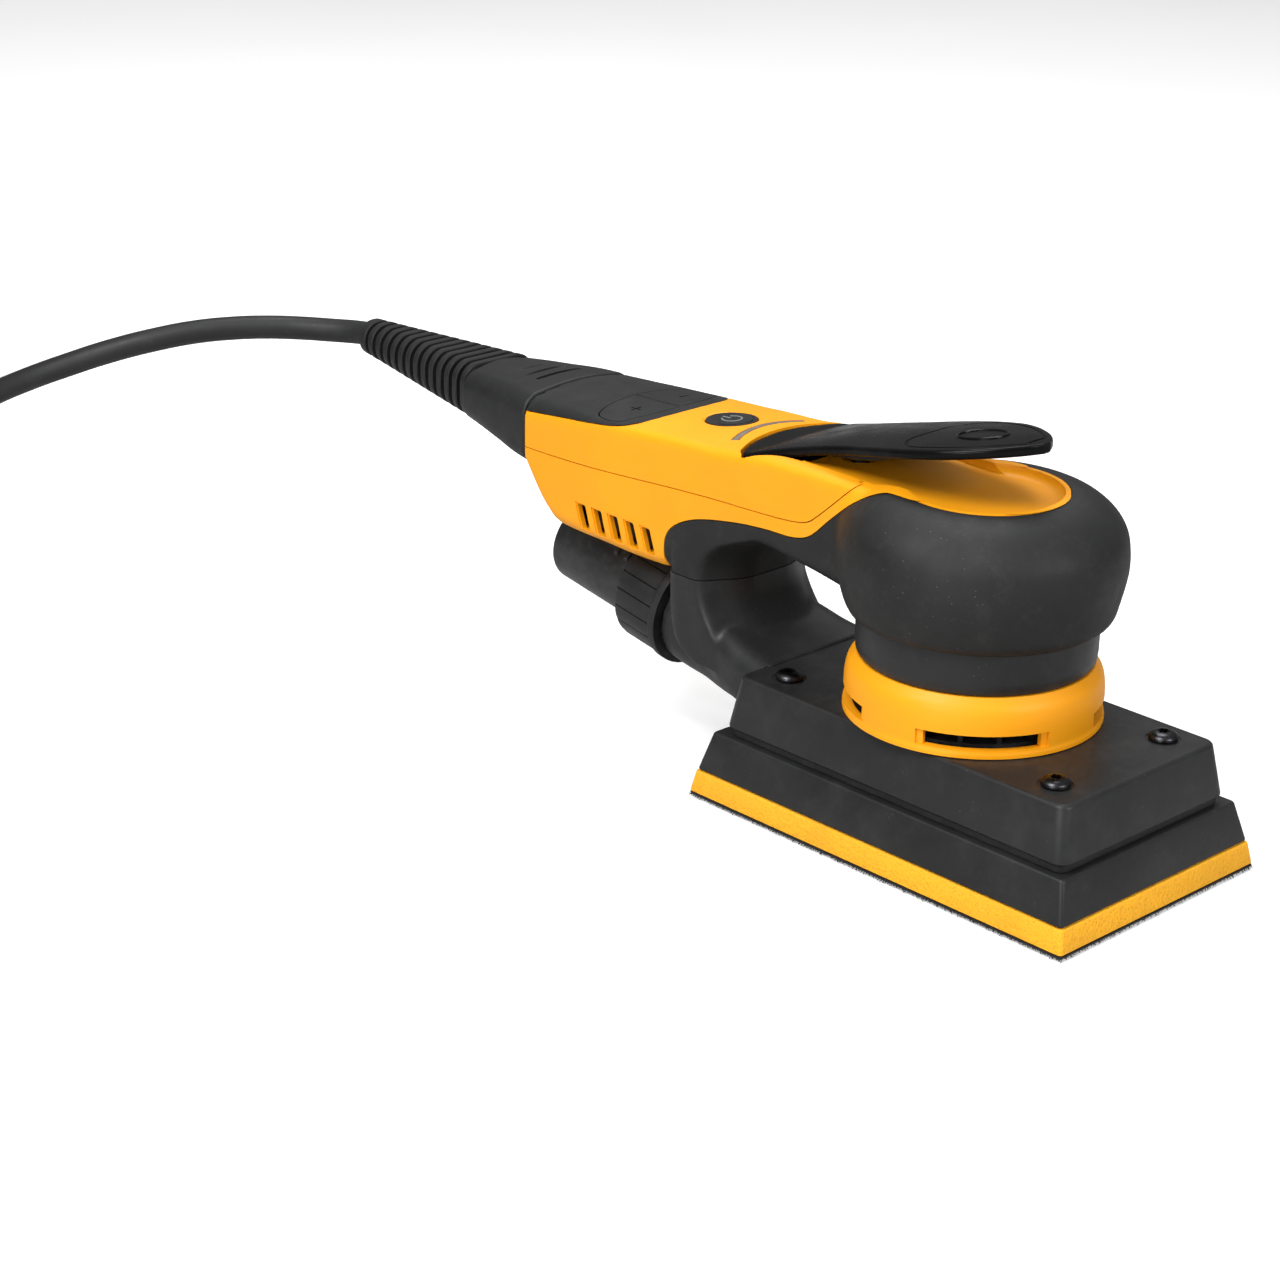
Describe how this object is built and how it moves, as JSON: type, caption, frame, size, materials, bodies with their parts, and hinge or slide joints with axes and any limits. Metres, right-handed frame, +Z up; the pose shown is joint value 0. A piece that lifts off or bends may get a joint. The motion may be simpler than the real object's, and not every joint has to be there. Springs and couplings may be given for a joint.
{
  "type": "compact orbital sander",
  "caption": "Compact corded orbital sander with a rectangular pad, a domed palm head over a round motor, a paddle lever, a finger-hole hand grip and a rear dust outlet.",
  "frame": {"origin": "on the motor's axis, in the plane of the pad's hook face", "axes": "+X across the tool, +Y along it from the head to the cord, +Z up and away from the work"},
  "size_m": [0.1494, 0.6842, 0.1169],
  "materials": {
    "yellow_plastic": "satin moulded plastic",
    "black_plastic": "satin moulded plastic",
    "grip_rubber": "matt soft-touch rubber",
    "pad_foam": "matt closed-cell foam",
    "hook_layer": "hook fabric",
    "cord_rubber": "satin rubber",
    "bright_steel": "bright steel",
    "black_steel": "blackened steel",
    "aluminium": "cast and machined",
    "magnet": "plated magnet ring",
    "copper_winding": "enamelled copper wire on laminations",
    "board_green": "solder mask",
    "grey_lens": "translucent lens"
  },
  "bodies": {
    "housing": {"motor_housing": "black_plastic", "lower_bearing": "bright_steel", "stator": "copper_winding", "bearing_bracket": "aluminium", "upper_bearing": "bright_steel", "shroud": "black_plastic", "shroud_screw_1": "black_steel", "shroud_screw_2": "black_steel", "shroud_screw_3": "black_steel", "shroud_screw_4": "black_steel", "pad_post_1": "black_plastic", "pad_post_2": "black_plastic", "pad_post_3": "black_plastic", "pad_post_4": "black_plastic", "dust_seal": "grip_rubber", "vent_ring": "yellow_plastic", "extraction_duct": "black_plastic", "rubber_grip": "grip_rubber", "lower_housing": "yellow_plastic", "top_cover": "yellow_plastic", "case_screw_1": "bright_steel", "case_screw_2": "bright_steel", "case_screw_3": "bright_steel", "case_screw_4": "bright_steel", "control_panel": "black_plastic", "status_light": "grey_lens", "lever_pin": "bright_steel", "lever_spring": "bright_steel", "switch_plunger": "grip_rubber", "circuit_board": "board_green", "bus_capacitor": "black_plastic", "inlet_socket": "black_plastic", "plug_body": "cord_rubber", "strain_relief": "cord_rubber", "cord": "cord_rubber", "cord_coil": "cord_rubber", "cord_tail": "cord_rubber", "mains_plug": "cord_rubber", "plug_pin_1": "bright_steel", "plug_pin_2": "bright_steel"},
    "rotor": {"eccentric_hub": "aluminium", "cooling_fan": "black_plastic", "counterweight": "bright_steel", "rotor_shaft": "bright_steel", "rotor_magnet": "magnet", "spindle_bearing": "bright_steel"},
    "pad": {"hook_layer": "hook_layer", "pad_foam": "pad_foam", "pad_plate": "black_plastic", "pad_spindle": "bright_steel"},
    "lever": {"lever": "black_plastic"},
    "plus_button": {"plus_button": "black_plastic"},
    "minus_button": {"minus_button": "black_plastic"},
    "power_button": {"power_button": "black_plastic"},
    "hose_swivel": {"outlet_tube": "black_plastic"},
    "collar": {"outlet_collar": "black_plastic"}
  },
  "joints": [
    {"name": "rotor_spin", "type": "hinge", "parent": "housing", "child": "rotor", "pos_m": [0, 0, 0.05], "axis": [0, 0, 1], "continuous": true},
    {"name": "pad_orbit", "type": "hinge", "parent": "rotor", "child": "pad", "pos_m": [0.00106, 0.00106, 0.02], "axis": [0, 0, 1], "continuous": true},
    {"name": "lever_hinge", "type": "hinge", "parent": "housing", "child": "lever", "pos_m": [0, 0.062, 0.0924], "axis": [1, 0, 0], "range_deg": [0, 7], "stiffness_Nm_per_rad": 0.5, "springref_deg": -5.73, "deforming": ["lever_spring", "switch_plunger"]},
    {"name": "plus_press", "type": "slide", "parent": "housing", "child": "plus_button", "axis": [0, 0, 1], "range_m": [-0.0008, 0], "stiffness_N_per_m": 300, "springref_m": 0.001},
    {"name": "minus_press", "type": "slide", "parent": "housing", "child": "minus_button", "axis": [0, 0, 1], "range_m": [-0.0008, 0], "stiffness_N_per_m": 300, "springref_m": 0.001},
    {"name": "power_press", "type": "slide", "parent": "housing", "child": "power_button", "axis": [0, 0, 1], "range_m": [-0.0008, 0], "stiffness_N_per_m": 300, "springref_m": 0.001},
    {"name": "hose_swivel_turn", "type": "hinge", "parent": "housing", "child": "hose_swivel", "pos_m": [0, 0.14, 0.04174], "axis": [0, 0.9861, 0.1663], "continuous": true},
    {"name": "collar_turn", "type": "hinge", "parent": "housing", "child": "collar", "pos_m": [0, 0.114, 0.03736], "axis": [0, 0.9861, 0.1663], "range_deg": [0, 30]}
  ],
  "couplings": [
    {"joint": "pad_orbit", "follows": "rotor_spin", "ratio": -1}
  ]
}
